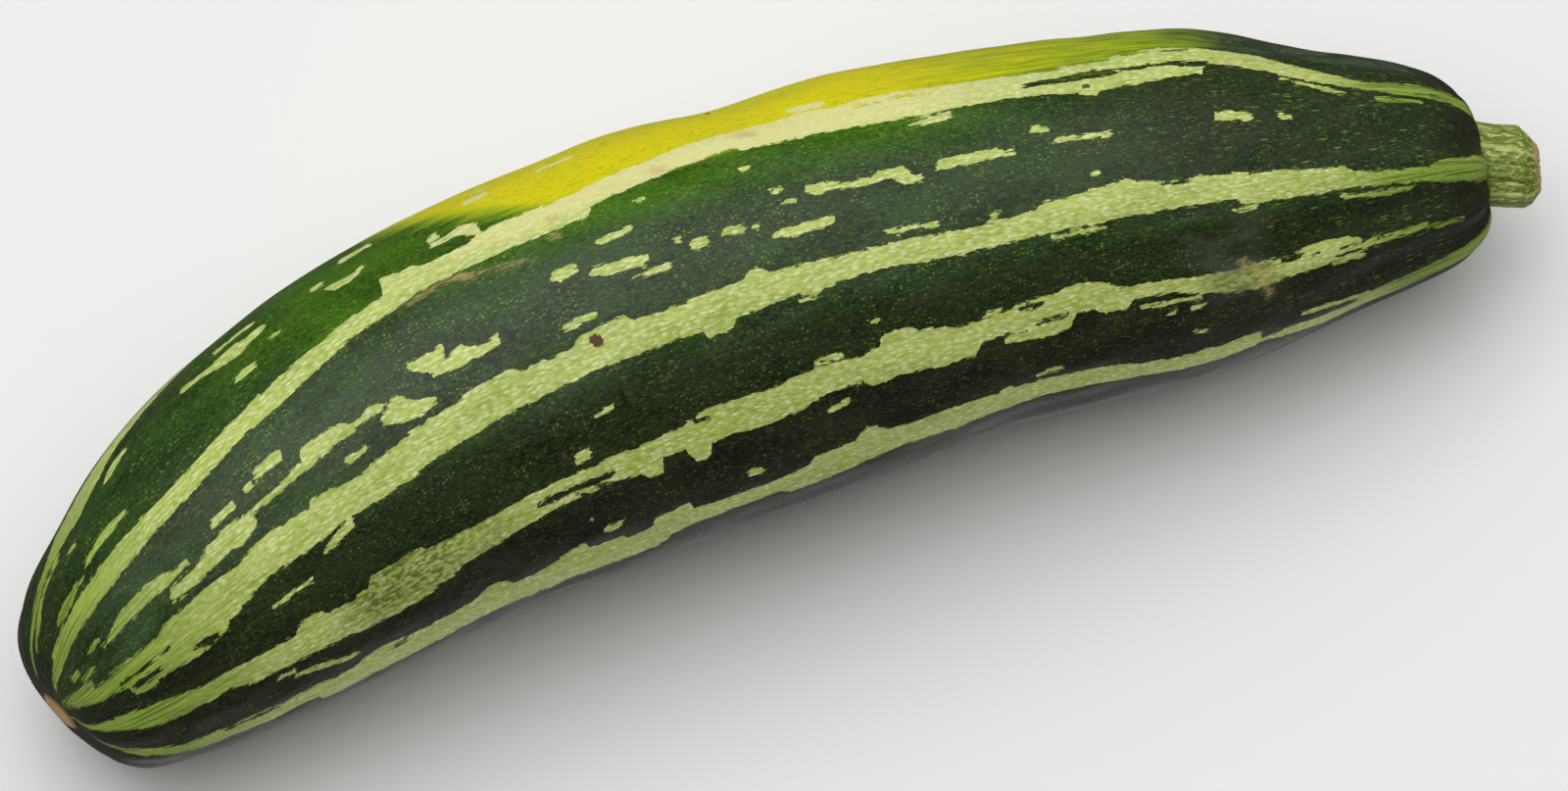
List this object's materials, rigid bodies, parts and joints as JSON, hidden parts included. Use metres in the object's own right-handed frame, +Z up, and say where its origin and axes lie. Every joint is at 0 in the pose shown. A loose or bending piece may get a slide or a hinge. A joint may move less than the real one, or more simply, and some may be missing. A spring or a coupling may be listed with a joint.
{
  "type": "zucchini",
  "caption": "Large striped zucchini, gently bent, dark green with pale mottled stripes and a yellow ground spot, lying with a cut stem stub and a blossom scar.",
  "frame": {"origin": "on the surface that the zucchini lies on, under the middle of its bounding box", "axes": "+X from the blossom end to the stem, +Y towards the outer side of the bend, +Z up"},
  "size_m": [0.3059, 0.081, 0.0777],
  "materials": {
    "skin": "waxy semi-gloss skin, dark green with pale green stripes and a yellow patch",
    "stem": "matte, ridged and fibrous, pale green"
  },
  "bodies": {
    "root": {"fruit": "skin", "stem": "stem"}
  },
  "joints": []
}
